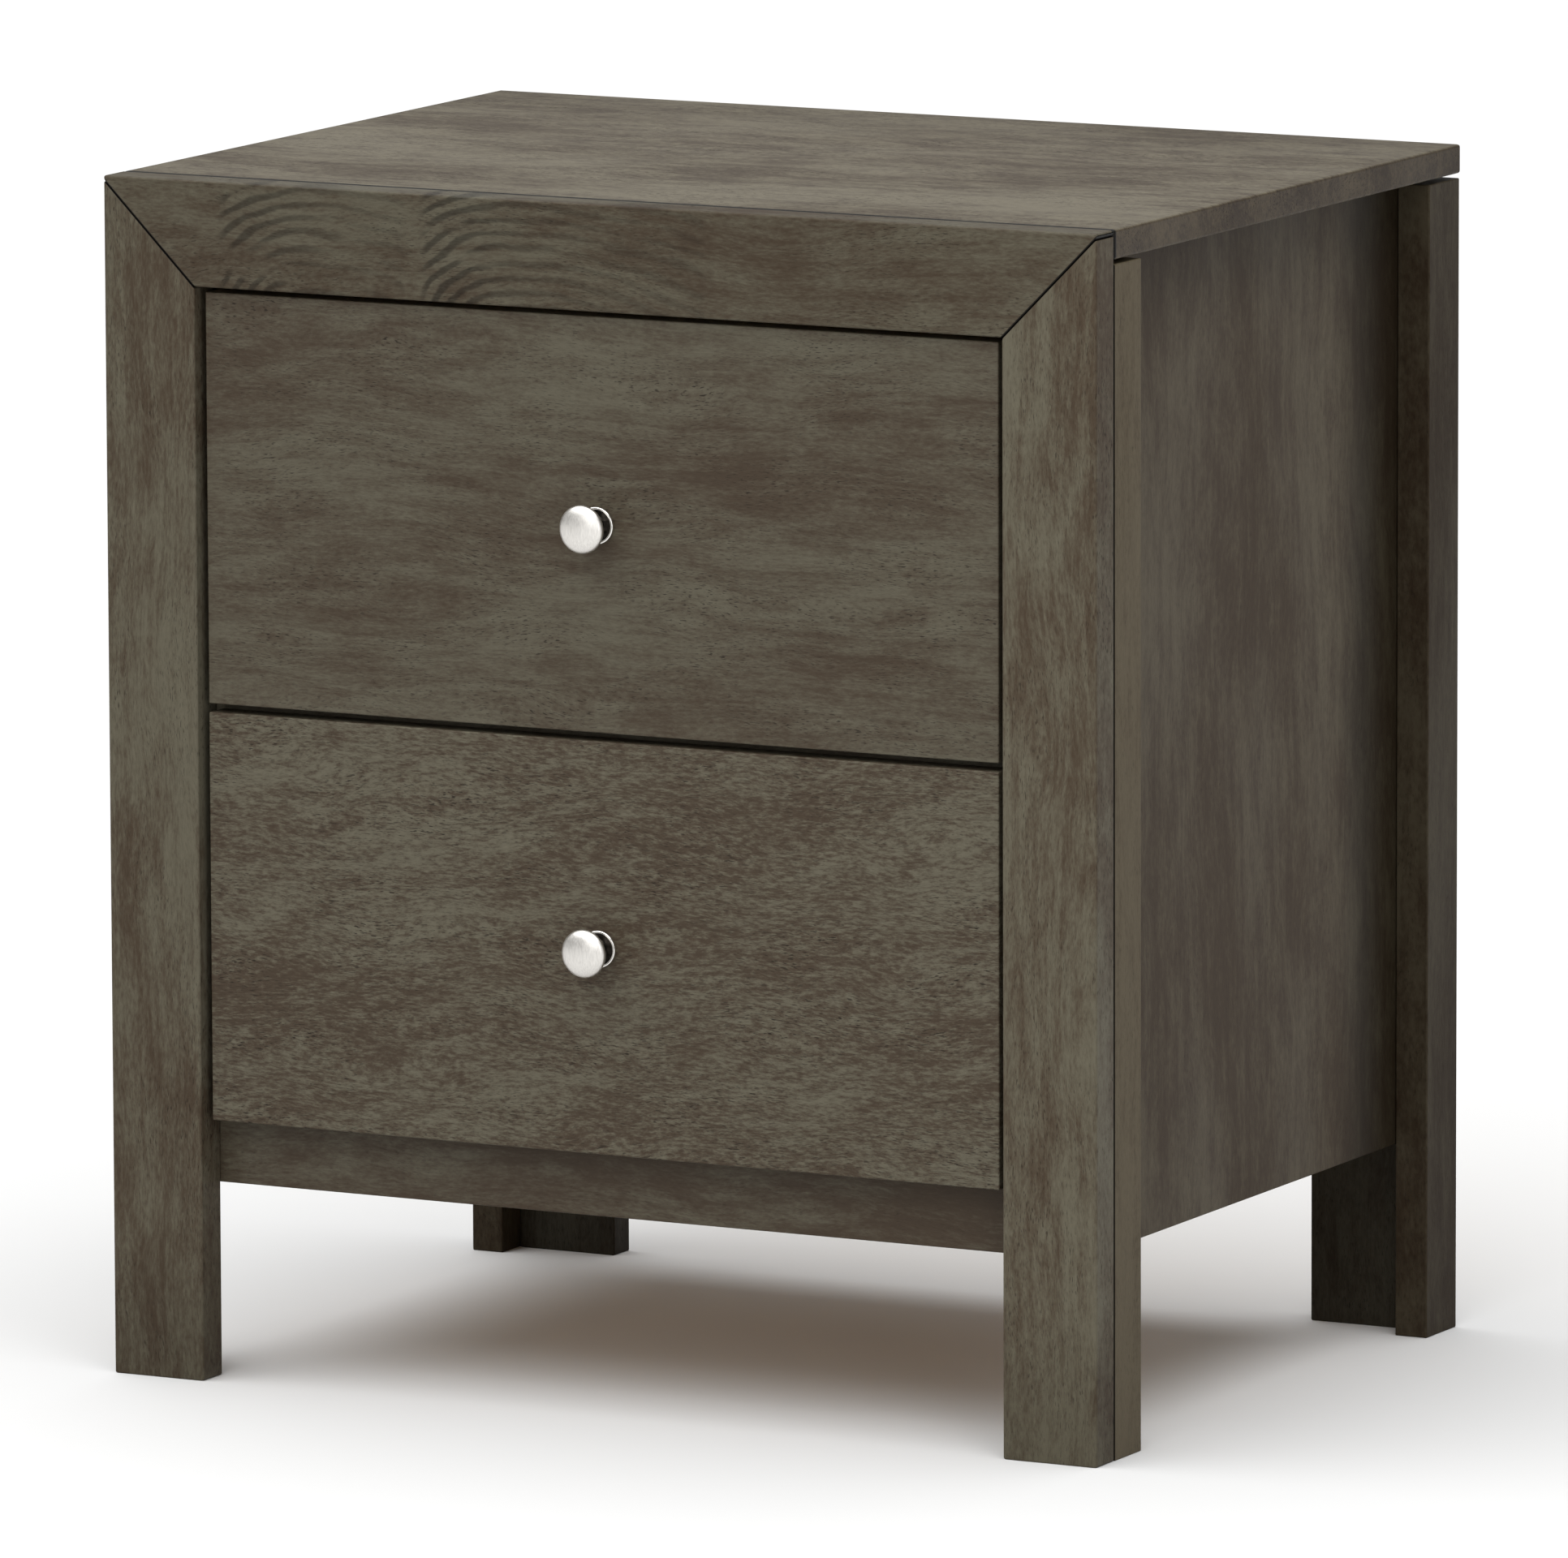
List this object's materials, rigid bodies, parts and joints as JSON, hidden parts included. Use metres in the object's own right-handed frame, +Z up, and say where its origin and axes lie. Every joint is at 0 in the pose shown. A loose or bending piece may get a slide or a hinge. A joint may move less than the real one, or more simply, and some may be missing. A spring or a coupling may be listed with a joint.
{
  "type": "nightstand",
  "caption": "Square-legged wooden nightstand with a mitred face frame, set-in side panels and full-extension drawers with round metal knobs.",
  "frame": {"origin": "on the floor, under the centre of the whole object's box, knobs included", "axes": "+Z up; the drawers open towards -Y; +X is the right-hand side as seen from the front"},
  "size_m": [0.56, 0.4376, 0.616],
  "materials": {
    "stained_wood": "grey-brown stained oak or ash, low-sheen clear coat over open pores",
    "drawer_wood": "pale unstained hardwood, sanded, thin clear lacquer",
    "plywood": "pale plywood or pine, sanded and unfinished",
    "slide_steel": "bright zinc plating",
    "satin_nickel": "satin nickel",
    "polished_nickel": "polished"
  },
  "bodies": {
    "case": {"top_panel": "stained_wood", "face_frame_top_rail": "stained_wood", "face_frame_left_stile": "stained_wood", "face_frame_right_stile": "stained_wood", "front_left_post": "stained_wood", "front_right_post": "stained_wood", "rear_left_post": "stained_wood", "rear_right_post": "stained_wood", "rear_left_leg_back_board": "stained_wood", "rear_right_leg_back_board": "stained_wood", "left_side_panel": "stained_wood", "right_side_panel": "stained_wood", "front_apron": "stained_wood", "drawer_divider_rail": "stained_wood", "back_panel": "plywood", "rear_bottom_rail": "plywood", "bottom_dust_panel": "plywood", "top_front_stretcher": "plywood", "top_rear_stretcher": "plywood", "front_left_glue_block": "plywood", "front_right_glue_block": "plywood", "rear_left_glue_block": "plywood", "rear_right_glue_block": "plywood", "upper_left_slide_cleat": "plywood", "upper_left_slide_case_member": "slide_steel", "upper_right_slide_cleat": "plywood", "upper_right_slide_case_member": "slide_steel", "lower_left_slide_cleat": "plywood", "lower_left_slide_case_member": "slide_steel", "lower_right_slide_cleat": "plywood", "lower_right_slide_case_member": "slide_steel"},
    "upper_drawer": {"upper_drawer_front": "stained_wood", "upper_knob_base": "polished_nickel", "upper_knob_head": "satin_nickel", "upper_knob_screw": "slide_steel", "upper_drawer_box_front": "drawer_wood", "upper_drawer_left_side": "drawer_wood", "upper_drawer_right_side": "drawer_wood", "upper_drawer_box_back": "drawer_wood", "upper_drawer_bottom": "plywood", "upper_left_slide_drawer_member": "slide_steel", "upper_right_slide_drawer_member": "slide_steel"},
    "upper_slide_middles": {"upper_left_slide_middle_member": "slide_steel", "upper_right_slide_middle_member": "slide_steel"},
    "lower_drawer": {"lower_drawer_front": "stained_wood", "lower_knob_base": "polished_nickel", "lower_knob_head": "satin_nickel", "lower_knob_screw": "slide_steel", "lower_drawer_box_front": "drawer_wood", "lower_drawer_left_side": "drawer_wood", "lower_drawer_right_side": "drawer_wood", "lower_drawer_box_back": "drawer_wood", "lower_drawer_bottom": "plywood", "lower_left_slide_drawer_member": "slide_steel", "lower_right_slide_drawer_member": "slide_steel"},
    "lower_slide_middles": {"lower_left_slide_middle_member": "slide_steel", "lower_right_slide_middle_member": "slide_steel"}
  },
  "joints": [
    {"name": "upper_drawer_slide", "type": "slide", "parent": "case", "child": "upper_drawer", "axis": [0, -1, 0], "range_m": [0, 0.345]},
    {"name": "upper_slide_middles_slide", "type": "slide", "parent": "case", "child": "upper_slide_middles", "axis": [0, -1, 0], "range_m": [0, 0.175]},
    {"name": "lower_drawer_slide", "type": "slide", "parent": "case", "child": "lower_drawer", "axis": [0, -1, 0], "range_m": [0, 0.345]},
    {"name": "lower_slide_middles_slide", "type": "slide", "parent": "case", "child": "lower_slide_middles", "axis": [0, -1, 0], "range_m": [0, 0.175]}
  ],
  "couplings": [
    {"joint": "upper_slide_middles_slide", "follows": "upper_drawer_slide", "ratio": 0.5},
    {"joint": "lower_slide_middles_slide", "follows": "lower_drawer_slide", "ratio": 0.5}
  ]
}
